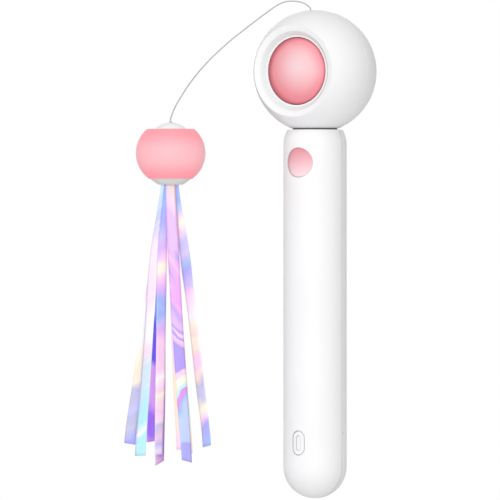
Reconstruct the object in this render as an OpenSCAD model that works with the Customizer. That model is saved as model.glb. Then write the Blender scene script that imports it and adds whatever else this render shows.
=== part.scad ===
// Cat teaser wand with a motor reel in its head.
// The origin lies on the handle's axis at mid grip. +Z runs up to the head and -Y is the front.

/* [Handle] */
// Outer radius of the handle
handle_r = 14.25; // [13.5:0.05:16]
// Height of the upper shoulder's centre above the grip's middle
shoulder_z = 72.4; // [70:0.1:80]
// Depth of the round foot's centre below the grip's middle
foot_z = 72.25; // [70:0.05:84]
// Height of the handle's flat top above the shoulder's centre
shoulder_rise = 6.9; // [6:0.1:8]
// Wall of the handle shells
handle_wall = 1.8; // [1.4:0.05:2.1]
// Wall of the handle's flat top
handle_top_wall = 2; // [1.5:0.1:2.6]
// Width of the fine groove where two shells meet
seam_w = 0.28; // [0.1:0.02:0.4]
// Depth of that groove
seam_depth = 0.3; // [0.15:0.05:0.6]
// Radius of a screw boss
boss_r = 3.2; // [3:0.05:3.6]
// Length of the pry notch beside the right-hand seam
notch_w = 2.4; // [1.5:0.1:3.5]
// Height of the pry notch
notch_h = 0.7; // [0.5:0.05:1.2]
// Depth of the pry notch below the grip's middle
notch_z = 57.2; // [52:0.1:66]

/* [Neck] */
// Visible gap between the handle and the head
neck_gap = 0.7; // [0.4:0.05:1.2]
// Inset of the collar from the edge of the handle's flat top
neck_inset = 2.45; // [2.2:0.05:2.8]
// Step from the collar that shows to its pipe inside the two top walls
neck_step = 1.4; // [1.2:0.05:1.7]
// Wall of the collar's pipe, which the motor wires pass
neck_wall = 2.6; // [2.2:0.1:3.2]
// Thickness of the collar's two flanges
neck_flange_t = 1.5; // [1:0.1:2]

/* [Head] */
// Outer radius of the ball head
head_r = 27.7; // [27:0.1:30]
// Depth of the flat cut at the underside of the head
bottom_cut = 2.2; // [1.6:0.1:2.7]
// Wall of the head shells
head_wall = 2; // [1.6:0.1:2.4]
// Depth of the flat cut at the front of the head
face_cut = 9.1; // [8.4:0.1:9.7]
// Radius where the face ring ends and the funnel starts
ring_r = 18; // [17.4:0.1:18.6]
// Drop of the face ring from its outer edge
ring_drop = 0.8; // [0.4:0.1:1.2]
// Radius where the funnel ends
funnel_r = 16; // [15.75:0.05:16.4]
// Drop of the funnel
funnel_drop = 2.3; // [1.6:0.1:3]
// Radius of the pink dome at its rim
dome_r = 15; // [14:0.05:15.05]
// Height of the dome over its rim
dome_h = 5; // [3:0.1:6]
// Wall of the dome
dome_wall = 1.5; // [1:0.1:2]
// Gap round the dome
dome_gap = 0.3; // [0.15:0.01:0.4]

/* [Button] */
// Radius of the hole for the push button
button_hole_r = 6.6; // [6.2:0.05:7]
// Gap round the button
button_gap = 0.15; // [0.08:0.01:0.25]
// Height of the button's centre above the grip's middle
button_z = 64.5; // [62:0.1:66]
// Travel of the button
button_travel = 0.5; // [0.3:0.05:0.7]
// Depth of the finger dish
dish_depth = 0.9; // [0.5:0.05:1.2]

/* [Charging port] */
// Height of the port recess
port_h = 11.2; // [10.8:0.1:12.5]
// Width of the port recess
port_w = 6.4; // [6:0.1:7.2]
// Depth of the port's centre below the grip's middle
port_z = 61.4; // [60:0.1:63]
// Depth of the port recess
port_depth = 1.35; // [1.2:0.05:1.6]
// Gap round the port cover
cover_gap = 0.15; // [0.12:0.01:0.25]
// Thickness of the port cover at its middle
cover_t = 1.2; // [0.9:0.05:1.2]
// Width of the groove round the cover's face
groove_w = 0.2; // [0.1:0.02:0.35]
// Depth of that groove
groove_depth = 0.35; // [0.2:0.05:0.45]
// Height of the nail pocket in the cover
pocket_h = 6.8; // [5:0.1:8]
// Width of the nail pocket in the cover
pocket_w = 2.3; // [2:0.1:3.2]
// Depth of the nail pocket
pocket_depth = 0.45; // [0.2:0.05:0.5]
// Height of the socket's metal shell
socket_h = 8.94; // [8.8:0.02:9.1]
// Width of the socket's metal shell
socket_w = 3.16; // [3:0.02:3.3]
// Sheet of the socket's metal shell
socket_t = 0.3; // [0.2:0.02:0.35]

/* [Electronics] */
// Thickness of the foam pad between the board and the battery cell
pad_t = 1.9; // [1.2:0.05:2.6]
// Gap between the battery cell and the handle's back wall
cell_gap = 1.95; // [1.2:0.05:2.4]
// Length of the battery cell
cell_len = 50; // [45:0.5:55]
// Height of the battery's centre above the grip's middle
cell_z = -17.5; // [-19:0.1:-15]
// Thickness of the circuit board
board_t = 1.2; // [0.8:0.1:1.6]
// Distance of the board's front behind the front of the handle
board_drop = 7.65; // [7.6:0.01:7.9]
// Width of the circuit board
board_w = 14.8; // [12:0.1:15.6]
// Height of the board's top edge
board_top = 70; // [69:0.1:72]
// Depth of the board's lower edge
board_foot = 68; // [67:0.1:70]

/* [Reel] */
// Gap between the reel's flanges and the frame's posts
flange_gap = 0.9; // [0.4:0.05:2.4]
// Radius of the reel's hub
hub_r = 8; // [6.5:0.1:9]
// Thickness of a reel flange
flange_t = 1; // [0.8:0.05:1.3]
// Width of the reel over its flanges
reel_w = 8; // [7:0.1:8.4]
// Distance of the reel's middle in front of the head's centre
reel_front = 3.8; // [3.6:0.05:4]
// Radius of the stored line on the reel
winding_r = 11; // [10:0.1:13]
// Radius of the reel's fixed axle
axle_r = 1.5; // [1.2:0.05:1.8]
// Running clearance of shafts in their bores
run_gap = 0.05; // [0.03:0.01:0.08]
// Size of the gear teeth: pitch diameter for each tooth
gear_module = 0.5; // [0.48:0.01:0.52]
// Radius of the reel motor
motor_r = 6; // [5.5:0.05:6.1]
// Length of the motor's can
motor_len = 9; // [8:0.1:9.4]
// Gap between the frame's plates and the widest part of the head's bore
plate_gap = 4.7; // [4.1:0.1:5.1]
// Thickness of the frame's back plate
plate_t = 1.6; // [1.2:0.1:1.8]
// Distance of a post's axis from the edge of the plates
post_edge = 2.4; // [2.2:0.05:2.6]
// Radius of a frame post
post_r = 1.7; // [1.5:0.05:1.8]

/* [Line and toy] */
// Diameter of the line
line_d = 0.6; // [0.4:0.05:0.66]
// Level distance from the eyelet to the toy's axis
toy_reach = 63; // [58:0.5:70]
// Height of the point that the toy swings about
toy_pivot_z = 82.15; // [80:0.05:84]
// Radius of the knot bead in the toy
bead_r = 1; // [0.8:0.05:1.05]
// Largest radius of the toy ball
ball_r = 15.7; // [15:0.1:17]
// Radius of the ball's bulging side, seen in section
ball_bulge_r = 14.16; // [13.4:0.02:14.8]
// Height of the ball's flat top above its middle
ball_top = 10.85; // [10:0.05:11.4]
// Depth of the ball's flat underside below its middle
ball_foot = 11.6; // [11:0.1:12.2]
// Wall of the ball
ball_wall = 1.6; // [1.2:0.1:2]
// Radius of the white top cap
top_cap_r = 7.2; // [6.4:0.1:8]
// Height of the white top cap
top_cap_h = 3; // [2.6:0.05:3.4]
// Upper radius of the bottom cap
foot_cap_r = 9.1; // [8.4:0.1:9.2]
// Lower radius of the bottom cap
foot_cap_end_r = 5.3; // [5.25:0.05:6]
// Depth of the bottom cap
foot_cap_h = 2.6; // [2.2:0.1:3]
// Radius of the opening that the film hangs from
film_bore_r = 4.9; // [4.7:0.05:5]
// Width of a film strip
film_w = 5; // [4.6:0.1:5.2]
// Length of the longest film strip
film_len = 128; // [110:0.5:132]
// Thickness of a film strip
film_t = 0.25; // [0.15:0.01:0.3]
// Level distance from the toy's axis to the outermost strip's foot
film_spread = 18.5; // [15:0.1:20]
// Depth of the tassel at its foot, from its middle
film_depth = 11; // [9:0.1:13]

/* [Hidden] */
$fn = 96;

shell_colour = [0.95, 0.95, 0.95];
pink_colour = [0.98, 0.62, 0.66];
dark_colour = [0.25, 0.25, 0.27];
steel_colour = [0.7, 0.71, 0.73];
gear_colour = [0.92, 0.9, 0.82];
film_colours = ["lavender", "lightcyan", "mediumpurple", "lightblue", "thistle",
    "peachpuff", "plum", "palegoldenrod", "lightsteelblue"];

handle_top = shoulder_z + shoulder_rise;
handle_top_r = sqrt(handle_r * handle_r - shoulder_rise * shoulder_rise);
neck_r = handle_top_r - neck_inset;
neck_pipe_r = neck_r - neck_step;
neck_bore_r = neck_pipe_r - neck_wall;
head_flat = head_r - bottom_cut;
handle_bore_r = handle_r - handle_wall;
head_bottom = handle_top + neck_gap;
head_z = head_bottom + head_flat;
head_bore_r = head_r - head_wall;
face_d = head_r - face_cut;
head_floor = head_bottom + head_wall;
far = head_z + head_r;
overrun = 1;
fit_gap = 0.05;
seat_gap = 0.1;
thread_gap = 0.03;
board_front_y = board_drop - handle_r;
board_back_y = board_front_y + board_t;
cell_front_y = board_back_y + pad_t;
cell_r = (handle_bore_r - cell_gap - cell_front_y) / 2;
cell_y = cell_front_y + cell_r;

// Screws of the handle
screw_r = 1;
screw_head_r = 1.9;
screw_head_t = 1.4;
screw_len = 10;
screw_seat_len = 6.4;
upper_screw_z = 44;
lower_screw_z = -50;
screw_zs = [upper_screw_z, lower_screw_z];
screw_head_y = board_back_y + screw_seat_len;
well_r = 2.3;
plug_len = 2.5;

// Ribs that hold the battery in the back shell
rib_t = 1.6;
rib_shares = [-0.4, 0, 0.4];

// Small parts of the electronics
chip_w = 5;
chip_t = 1;
chip_zs = [-36, -22, 18, 30];
cell_tip_h = 1.5;
cell_tip_r = 2.5;
pad_w = 8;
pad_share = 0.8;
tab_w = 4;
tab_t = 0.3;

// Guide of the push button and its inner parts
flush_drop = 0.2;
guide_wall = 1.6;
guide_len = 5.25;
guide_end_y = guide_len - handle_r;
button_r = button_hole_r - button_gap;
button_flange_t = 0.8;
button_flange_r = button_hole_r + button_flange_t;
button_room_r = 5;
button_roof_t = 3.25;
dish_cut = dish_depth - flush_drop;
dish_r = (button_r * button_r + dish_cut * dish_cut) / (2 * dish_cut);
switch_w = 6;
switch_t = 3.3;
plunger_r = 1.6;
plunger_hold = 2;
button_roof_y = -handle_r + button_roof_t;

// Charging port
port_floor_y = -handle_r + port_depth;
port_pad_t = 1.7;
port_pad_wall = 1.2;
socket_mouth_y = port_floor_y + seat_gap;
slot_gap = 0.15;
tongue_w = 0.7;
tongue_h = 6.7;
tongue_base = 1.5;
tongue_drop = 0.6;

// Reel, frame and gears
plate_r = head_bore_r - plate_gap;
post_ring_r = plate_r - post_edge;
flange_r = post_ring_r - post_r - flange_gap;
reel_front_y = -reel_front - reel_w / 2;
reel_back_y = -reel_front + reel_w / 2;
gear_gap = 0.4;
gear_t = 2;
spool_teeth = 30;
small_teeth = 10;
large_teeth = 27;
pinion_teeth = 9;
root_share = 0.57;
tip_share = 0.2;
addendum_share = 0.85;
dedendum_share = 1.25;
mesh_gap = 0.06;
spool_gear_y = reel_back_y + gear_gap;
large_gear_y = spool_gear_y + gear_t + gear_gap;
plate_front_y = large_gear_y + gear_t + 1.5 * gear_gap;
plate_back_y = plate_front_y + plate_t;
front_plate_t = 1.4;
front_plate_gap = 0.6;
front_plate_back_y = reel_front_y - front_plate_gap;
front_plate_y = front_plate_back_y - front_plate_t;
idler_turn = 220;
idler_reach = gear_module * (spool_teeth + small_teeth) / 2 + mesh_gap;
motor_reach = gear_module * (large_teeth + pinion_teeth) / 2 + mesh_gap;
idler_x = idler_reach * cos(idler_turn);
idler_z = idler_reach * sin(idler_turn);
motor_z = idler_z - sqrt(motor_reach * motor_reach - idler_x * idler_x);
motor_dir = atan2(motor_z - idler_z, -idler_x);
idler_axle_r = 0.8;
motor_shaft_r = 0.75;
motor_boss_r = 2;
motor_cap_t = 1.6;
cap_step = 0.4;
post_turns = [35, 145, 250, 290];
post_boss_r = 2.4;
bush_r = 2.4;
frame_screw_r = 0.8;
frame_head_r = 1.5;
frame_head_t = 0.9;
frame_bite = 5;

// Snap ring that centres the two head shells
lip_t = 0.7;
lip_len = 1.5;
lip_root = 4;

// Dome
rim_d = face_d - ring_drop - funnel_drop;
skirt_len = 3.5;
snap_t = 1.1;
snap_step = 1.4;
snap_r = dome_r + snap_step;
dome_sphere_r = (dome_r * dome_r + dome_h * dome_h) / (2 * dome_h);
dome_centre_d = rim_d + dome_h - dome_sphere_r;
face_wall = 2;

// Eyelet and the stored line
eyelet_r = 1.6;
eyelet_bore_r = line_d / 2 + run_gap;
eyelet_y = -reel_front;
eyelet_top = head_z + sqrt(head_r * head_r - eyelet_y * eyelet_y);
eyelet_proud = 0.06;
eyelet_len = 2.4;
feed_r = line_d / 2;
feed_top = eyelet_top - eyelet_len - seat_gap;
feed_span = feed_top - head_z;
feed_lay_r = winding_r + feed_r + fit_gap;
feed_turn = acos(feed_lay_r / feed_span);
feed_len = feed_span * sin(feed_turn);

// Toy, told from the point that it swings about
line_heading = 29.6;
toy_x = -toy_reach * cos(line_heading);
toy_y = eyelet_y - toy_reach * sin(line_heading);
toy_turn = 32.5;
bead_gap = 0.05;
cup_wall = 0.55;
cup_in_r = bead_r + bead_gap;
cup_out_r = cup_in_r + cup_wall;
cup_room_r = cup_out_r + bead_gap;
pivot_drop = 0.5 * bead_r;
cap_top = toy_pivot_z + pivot_drop;
ball_flat_z = cap_top - top_cap_h;
ball_z = ball_flat_z - ball_top;
ball_foot_z = ball_z - ball_foot;
bulge_x = ball_r - ball_bulge_r;
top_cap_sphere_r = (top_cap_r * top_cap_r + top_cap_h * top_cap_h) / (2 * top_cap_h);
spigot_r = 5;
spigot_len = 3;
spindle_r = 2.2;
spindle_wall = 0.9;
spindle_bite = 2;
spindle_top_z = ball_flat_z - spigot_len + spindle_bite;
foot_cap_end_z = ball_foot_z - foot_cap_h;
foot_cap_drop = (foot_cap_r * foot_cap_r - foot_cap_end_r * foot_cap_end_r
    - foot_cap_h * foot_cap_h) / (2 * foot_cap_h);
foot_cap_sphere_r = sqrt(foot_cap_r * foot_cap_r + foot_cap_drop * foot_cap_drop);
foot_spigot_r = 7;
clamp_t = 2;
clamp_z = ball_foot_z;
film_top_z = clamp_z;
film_pitch = 0.5;
film_rings = 20;

// The line's route: level distance from the eyelet's axis, and height
line_route = [
    [0, 131.6], [0, 133.3], [0.2, 133.9], [0.9, 134.8], [2.5, 135.9], [5, 136.8], [8.2, 137.1],
    [10.9, 136.9], [13.6, 136], [16.9, 134], [21.6, 130.6], [26.5, 126.9], [31.4, 123.1],
    [36.3, 119.2], [41, 115], [45.5, 110.7], [49.6, 106.2], [53.3, 101.6], [56.6, 96.9],
    [59.4, 92.4], [61.5, 88.4], [62.7, 85.4], [63, 84.2], [63, 83.25]
];
line_steps = 3;

// The two motor wires: their middle route as places behind the axis and heights
lead_r = 0.45;
lead_x = 2;
lead_route = [
    [17.8, 92.5], [18.6, 92.5], [19.5, 91.4], [18.95, 89.2], [16.2, 86.9], [11, 85.4], [7.4, 84.8],
    [5, 83.7], [3.6, 81.4], [2.5, 78.4], [1.6, 75], [-0.2, 71.4], [-2.4, 68.8], [-3.8, 67.8],
    [-5.3, 67.8]
];
lead_steps = 2;
lead_notch_w = 6.4;
lead_notch_h = 1.8;

// Film strips from left to right: shares of film_len and film_depth for a strip's length and for
// how far back its foot lies, its gathered width at the top as a share of film_w, and the share of
// its length where it has its full width
film_cuts = [
    [0.933, 0.75, 0.4, 0.5], [0.972, -0.75, 0.3, 0.5], [0.925, 0.5, 0.4, 0.5],
    [0.968, -0.5, 0.42, 0.3], [1, 0.25, 0.4, 0.3], [0.952, -0.25, 0.5, 0.5],
    [0.991, -1, 0.8, 0.25], [0.962, 0, 0.5, 0.25], [0.942, 1, 0.32, 0.35]
];
// Where a strip hangs sideways at each quarter of its length, as shares of film_spread
film_sides = [
    [-0.07, -0.319, -0.546, -0.778, -1],
    [-0.184, -0.389, -0.508, -0.627, -0.735],
    [-0.086, -0.2, -0.281, -0.389, -0.486],
    [-0.135, -0.216, -0.227, -0.249, -0.286],
    [-0.07, -0.227, -0.238, -0.232, -0.265],
    [0, 0.065, 0.13, 0.195, 0.276],
    [-0.016, 0.059, 0.162, 0.276, 0.4],
    [0.054, 0.076, 0.157, 0.276, 0.405],
    [0.141, 0.319, 0.508, 0.692, 0.876]
];
// How far a strip is turned there, in degrees
film_turns = [
    [0, 15, 18, 10, 0], [0, -8, -37, -37, -20], [0, 8, 36, 44, 44],
    [0, 10, 32, 34, 47], [0, 4, 30, 40, 40], [0, -5, -8, -10, -12],
    [0, 0, 10, 12, 26], [0, 5, 8, 10, 14], [0, -14, -42, -41, -43]
];

// Value of a smooth curve through evenly spaced stations, at a share t of its length
function along(values, t) =
    let (
        last = len(values) - 1,
        k = min(floor(t * last), last - 1),
        s = t * last - k,
        a = values[max(k - 1, 0)],
        b = values[k],
        c = values[k + 1],
        d = values[min(k + 2, last)]
    ) (2 * b + (c - a) * s + (2 * a - 5 * b + 4 * c - d) * s * s
        + (3 * b - a - 3 * c + d) * s * s * s) / 2;

// Helper shapes

module along_y(y0, y1, r) {
    translate([0, y0, 0]) rotate([-90, 0, 0]) cylinder(h = y1 - y0, r = r);
}

module pill(h, w) {
    square([w, h - w], center = true);
    for (s = [-1, 1]) translate([0, s * (h - w) / 2]) circle(d = w);
}

module pill_y(h, w, y0, y1) {
    translate([0, y0, 0]) rotate([-90, 0, 0]) linear_extrude(y1 - y0) pill(h, w);
}

module box(x0, x1, y0, y1, z0, z1) {
    translate([x0, y0, z0]) cube([x1 - x0, y1 - y0, z1 - z0]);
}

// Half of space: side -1 is the front and side 1 is the back
module half(side) {
    box(-far, far, side < 0 ? -far : 0, side < 0 ? 0 : far, -far, far);
}

// Round-ended bar on the handle's axis, cut flat at z_top
module handle_bar(r, z_top) {
    rotate_extrude() intersection() {
        union() {
            translate([0, -foot_z]) circle(r);
            translate([0, -foot_z]) square([r, foot_z + shoulder_z]);
            translate([0, shoulder_z]) circle(r);
        }
        translate([0, -foot_z - r]) square([r, z_top + foot_z + r]);
    }
}

module handle_outside() handle_bar(handle_r, handle_top);
module handle_room() handle_bar(handle_bore_r, handle_top - handle_top_wall);

module handle_seam() {
    intersection() {
        difference() {
            handle_bar(handle_r + overrun, handle_top + overrun);
            handle_bar(handle_r - seam_depth, handle_top - seam_depth);
        }
        box(-far, far, -seam_w / 2, seam_w / 2, -far, far);
    }
}

module handle_half(side) {
    difference() {
        intersection() {
            handle_outside();
            half(side);
        }
        handle_room();
        handle_seam();
        cylinder(h = far, r = neck_pipe_r + fit_gap);
    }
}

// Anything inside the handle that grows out of the wall
module in_wall() {
    intersection() {
        handle_bar(handle_r - handle_wall / 2, handle_top - handle_top_wall / 2);
        union() children();
    }
}

module head_ball(r, bottom) {
    intersection() {
        translate([0, 0, head_z]) sphere(r);
        box(-far, far, -far, far, bottom, 2 * far);
    }
}

module head_room() {
    intersection() {
        head_ball(head_bore_r, head_floor);
        box(-far, far, face_wall - rim_d, far, -far, 2 * far);
    }
}

module head_seam() {
    intersection() {
        difference() {
            head_ball(head_r + overrun, head_bottom - overrun);
            head_ball(head_r - seam_depth, head_bottom + seam_depth);
        }
        box(-far, far, -seam_w / 2, seam_w / 2, -far, 2 * far);
    }
}

module head_half(side) {
    difference() {
        intersection() {
            head_ball(head_r, head_bottom);
            box(-far, far, side < 0 ? -far : 0, side < 0 ? 0 : far, -far, 2 * far);
        }
        head_room();
        head_seam();
        cylinder(h = head_z, r = neck_pipe_r + fit_gap);
    }
}

// Body turned about the level axis of the head: children are drawn as [radius, distance to the front]
module face_turned() {
    translate([0, 0, head_z]) rotate([90, 0, 0]) rotate_extrude() children();
}

// Places the children on the posts' circle
module at_posts() {
    for (a = post_turns)
        translate([post_ring_r * cos(a), 0, head_z + post_ring_r * sin(a)]) children();
}

// Spur gear about the level axis, its first tooth at angle phase
module spur(teeth, y0, bore, phase) {
    pitch_r = gear_module * teeth / 2;
    root_r = pitch_r - dedendum_share * gear_module;
    tip_r = pitch_r + addendum_share * gear_module;
    corner_shares = [-root_share, -tip_share, tip_share, root_share] / 2;
    outline = [
        for (i = [0 : teeth - 1], k = [0 : 3])
            let (
                a = phase + 360 / teeth * (i + corner_shares[k]),
                r = (k == 0 || k == 3) ? root_r : tip_r
            ) [r * cos(a), r * sin(a)]
    ];
    translate([0, y0 + gear_t, 0]) rotate([90, 0, 0]) linear_extrude(gear_t) difference() {
        polygon(outline);
        circle(bore);
    }
}

// Smooth curve through the route's points
function spline_point(p, i, t) =
    let (
        n = len(p),
        a = p[max(i - 1, 0)],
        b = p[i],
        c = p[i + 1],
        d = p[min(i + 2, n - 1)]
    )
    0.5 * (2 * b + (c - a) * t + (2 * a - 5 * b + 4 * c - d) * t * t
        + (3 * b - a - 3 * c + d) * t * t * t);

function spline(p, steps) = [
    for (i = [0 : len(p) - 2], k = [0 : steps - 1]) spline_point(p, i, k / steps),
    p[len(p) - 1]
];

// Tube swept along a route that lies in the upright plane of direction out
module tube(route, steps, r, out, side) {
    sides = 8;
    path = spline(route, steps);
    n = len(path);
    flow = [
        for (i = [0 : n - 1])
            let (d = path[min(i + 1, n - 1)] - path[max(i - 1, 0)]) d / norm(d)
    ];
    points = [
        for (i = [0 : n - 1], k = [0 : sides - 1])
            let (
                a = 360 * (k + 0.5) / sides,
                lift = r * cos(a),
                reach = path[i][0] - lift * flow[i][1],
                height = path[i][1] + lift * flow[i][0]
            ) [reach * out[0] + r * sin(a) * side[0], reach * out[1] + r * sin(a) * side[1], height]
    ];
    walls = [
        for (i = [0 : n - 2], k = [0 : sides - 1], half = [0, 1])
            let (
                a = i * sides + k,
                b = i * sides + (k + 1) % sides,
                c = a + sides,
                d = b + sides
            ) half == 0 ? [a, b, c] : [b, d, c]
    ];
    ends = [
        for (k = [1 : sides - 2], last = [0, 1])
            last == 0 ? [0, k + 1, k] : [(n - 1) * sides, (n - 1) * sides + k, (n - 1) * sides + k + 1]
    ];
    polyhedron(points, concat(walls, ends));
}

// Handle and its electronics

module handle_front_shell() color(shell_colour) {
    difference() {
        union() {
            handle_half(-1);
            in_wall() {
                translate([0, 0, button_z])
                    along_y(-far, guide_end_y, button_hole_r + guide_wall);
                for (z = screw_zs) translate([0, 0, z])
                    along_y(-far, board_front_y, boss_r);
                translate([0, 0, -port_z]) pill_y(port_h + 2 * port_pad_wall,
                    port_w + 2 * port_pad_wall, -far, port_floor_y + port_pad_t);
            }
        }
        translate([0, 0, button_z]) along_y(-far, 0, button_hole_r);
        for (z = screw_zs) translate([0, 0, z])
            along_y(screw_head_y - screw_len - overrun, 0, screw_r + thread_gap);
        translate([0, 0, -port_z]) {
            pill_y(port_h, port_w, -far, port_floor_y);
            pill_y(socket_h + 2 * slot_gap, socket_w + 2 * slot_gap, -far, 0);
        }
    }
}

module handle_back_shell() color(shell_colour) {
    difference() {
        union() {
            handle_half(1);
            in_wall() {
                difference() {
                    for (share = rib_shares)
                        box(-far, far, overrun, far, cell_z + share * cell_len - rib_t / 2,
                            cell_z + share * cell_len + rib_t / 2);
                    translate([0, cell_y, -far]) cylinder(h = 2 * far, r = cell_r + fit_gap);
                }
                for (z = screw_zs) translate([0, 0, z]) along_y(board_back_y, far, boss_r);
            }
        }
        for (z = screw_zs) translate([0, 0, z]) {
            along_y(screw_head_y, far, well_r);
            along_y(-far, far, screw_r + thread_gap);
        }
        box(handle_r - seam_depth - notch_h, far, seam_w / 2, seam_w / 2 + notch_w,
            -notch_z - notch_h / 2, notch_h / 2 - notch_z);
    }
}

module handle_screws() color(steel_colour) {
    for (z = screw_zs) translate([0, 0, z]) {
        along_y(screw_head_y - screw_len, screw_head_y + screw_head_t / 2, screw_r);
        difference() {
            along_y(screw_head_y, screw_head_y + screw_head_t, screw_head_r);
            for (a = [0, 90]) rotate([0, a, 0])
                box(-screw_r, screw_r, screw_head_y + screw_head_t / 2, far,
                    -screw_r / 4, screw_r / 4);
        }
    }
}

module screw_plugs() color(shell_colour) {
    intersection() {
        handle_outside();
        for (z = screw_zs) translate([0, 0, z])
            along_y(handle_r - plug_len, far, well_r - fit_gap);
    }
}

module neck_collar() color(dark_colour) {
    difference() {
        union() {
            translate([0, 0, handle_top - handle_top_wall - seat_gap - neck_flange_t])
                cylinder(h = neck_flange_t, r = neck_r);
            translate([0, 0, handle_top - handle_top_wall - seat_gap - neck_flange_t])
                cylinder(h = head_floor - handle_top + handle_top_wall
                    + 2 * seat_gap + 2 * neck_flange_t, r = neck_pipe_r);
            translate([0, 0, handle_top]) cylinder(h = neck_gap, r = neck_r);
            translate([0, 0, head_floor + seat_gap]) cylinder(h = neck_flange_t, r = neck_r);
        }
        translate([0, 0, shoulder_z]) cylinder(h = head_flat, r = neck_bore_r);
    }
}

module control_board() color("seagreen") {
    difference() {
        box(-board_w / 2, board_w / 2, board_front_y, board_back_y, -board_foot, board_top);
        for (z = screw_zs) translate([0, 0, z]) along_y(-far, far, screw_r + seat_gap);
    }
}

module board_chips() color(dark_colour) {
    for (z = chip_zs)
        box(-chip_w / 2, chip_w / 2, board_front_y - chip_t, board_front_y,
            z - chip_w / 2, z + chip_w / 2);
}

module button_switch() color(steel_colour) {
    translate([0, 0, button_z]) difference() {
        box(-switch_w / 2, switch_w / 2, board_front_y - switch_t, board_front_y,
            -switch_w / 2, switch_w / 2);
        along_y(-far, button_roof_y + plunger_hold + button_travel + seat_gap,
            plunger_r + run_gap);
    }
}

module charging_socket() color(steel_colour) {
    translate([0, 0, -port_z]) difference() {
        pill_y(socket_h, socket_w, socket_mouth_y, board_front_y);
        pill_y(socket_h - 2 * socket_t, socket_w - 2 * socket_t, -far, 0);
    }
}

module socket_tongue() color(dark_colour) {
    translate([0, 0, -port_z]) {
        pill_y(socket_h - 2 * socket_t, socket_w - 2 * socket_t,
            board_front_y - tongue_base, board_front_y);
        box(-tongue_w / 2, tongue_w / 2, socket_mouth_y + tongue_drop,
            board_front_y - tongue_base / 2, -tongue_h / 2, tongue_h / 2);
    }
}

module battery_cell() color("cornflowerblue") {
    translate([0, cell_y, cell_z - cell_len / 2]) {
        cylinder(h = cell_len, r = cell_r);
        cylinder(h = cell_len + cell_tip_h, r = cell_tip_r);
    }
}

module battery_pad() color(dark_colour) {
    difference() {
        box(-pad_w / 2, pad_w / 2, board_back_y, cell_y - cell_r / 2,
            cell_z - pad_share * cell_len / 2, cell_z + pad_share * cell_len / 2);
        translate([0, cell_y, -far]) cylinder(h = 2 * far, r = cell_r + fit_gap);
    }
}

// Bent nickel tab from one end of the cell to the board; way is 1 for up and -1 for down
module tab(z, way) {
    translate([0, 0, z]) scale([1, 1, way]) {
        box(-tab_w / 2, tab_w / 2, board_back_y, cell_y + tab_w / 2, 0, tab_t);
        box(-tab_w / 2, tab_w / 2, board_back_y, board_back_y + tab_t, 0, tab_w / 2);
    }
}

module battery_tabs() color(steel_colour) {
    tab(cell_z + cell_len / 2 + cell_tip_h, 1);
    tab(cell_z - cell_len / 2, -1);
}

module motor_leads() color("firebrick") {
    for (s = [-1, 1]) translate([s * lead_x, 0, 0])
        tube(lead_route, lead_steps, lead_r, [0, 1], [1, 0]);
}

// Head

module head_front_shell() color(shell_colour) {
    difference() {
        union() {
            head_half(-1);
            intersection() {
                head_ball(head_r - head_wall / 2, head_floor + neck_flange_t + 2 * seat_gap);
                translate([0, 0, head_z]) difference() {
                    along_y(-lip_root, lip_len, head_bore_r - seat_gap);
                    along_y(-far, far, head_bore_r - seat_gap - lip_t);
                }
            }
        }
        face_turned() polygon([
            [0, 0], [dome_r + dome_gap, 0], [dome_r + dome_gap, rim_d], [funnel_r, rim_d],
            [ring_r, rim_d + funnel_drop], [sqrt(head_r * head_r - face_d * face_d), face_d],
            [head_r + overrun, face_d], [head_r + overrun, far], [0, far]
        ]);
        translate([0, eyelet_y, head_z]) cylinder(h = far, r = eyelet_r);
    }
}

module head_back_shell() color(shell_colour) {
    difference() {
        union() {
            head_half(1);
            intersection() {
                head_ball(head_r - head_wall / 2, head_floor - head_wall / 2);
                at_posts() along_y(plate_back_y, far, post_boss_r);
            }
        }
        at_posts() along_y(0, plate_back_y + frame_bite + overrun, frame_screw_r + thread_gap);
    }
}

module dome_cover() color(pink_colour) {
    face_turned() difference() {
        union() {
            intersection() {
                translate([0, dome_centre_d]) circle(dome_sphere_r);
                translate([0, rim_d]) square([dome_r, dome_h + overrun]);
            }
            translate([0, rim_d - skirt_len]) square([dome_r, skirt_len]);
            translate([0, rim_d - face_wall - seat_gap - snap_t]) square([snap_r, snap_t]);
        }
        intersection() {
            translate([0, dome_centre_d]) circle(dome_sphere_r - dome_wall);
            translate([0, rim_d - dome_wall]) square([dome_r - dome_wall, far]);
        }
        translate([0, rim_d - skirt_len - overrun])
            square([dome_r - dome_wall, skirt_len + overrun - dome_wall]);
    }
}

module line_eyelet() color(steel_colour) {
    difference() {
        intersection() {
            translate([0, eyelet_y, eyelet_top - eyelet_len]) cylinder(h = far, r = eyelet_r);
            translate([0, 0, head_z]) sphere(head_r + eyelet_proud);
        }
        translate([0, eyelet_y, head_z]) cylinder(h = far, r = eyelet_bore_r);
    }
}

// Reel and gear train

module frame_front_plate() color(gear_colour) {
    difference() {
        translate([0, 0, head_z]) difference() {
            along_y(front_plate_y, front_plate_back_y, plate_r);
            along_y(-far, far, axle_r);
        }
        at_posts() along_y(-far, far, frame_screw_r + thread_gap);
    }
}

module frame_back_plate() color(gear_colour) {
    difference() {
        translate([0, 0, head_z]) difference() {
            along_y(plate_front_y, plate_back_y, plate_r);
            along_y(-far, far, axle_r);
            translate([idler_x, 0, idler_z]) along_y(-far, far, idler_axle_r);
            translate([0, 0, motor_z]) along_y(-far, far, motor_boss_r + fit_gap);
            box(-lead_notch_w / 2, lead_notch_w / 2, 0, far, -far, lead_notch_h - plate_r);
        }
        at_posts() along_y(-far, far, frame_screw_r + thread_gap);
    }
}

module frame_posts() color(steel_colour) {
    at_posts() difference() {
        along_y(front_plate_back_y, plate_front_y, post_r);
        along_y(-far, far, frame_screw_r + thread_gap);
    }
}

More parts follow.
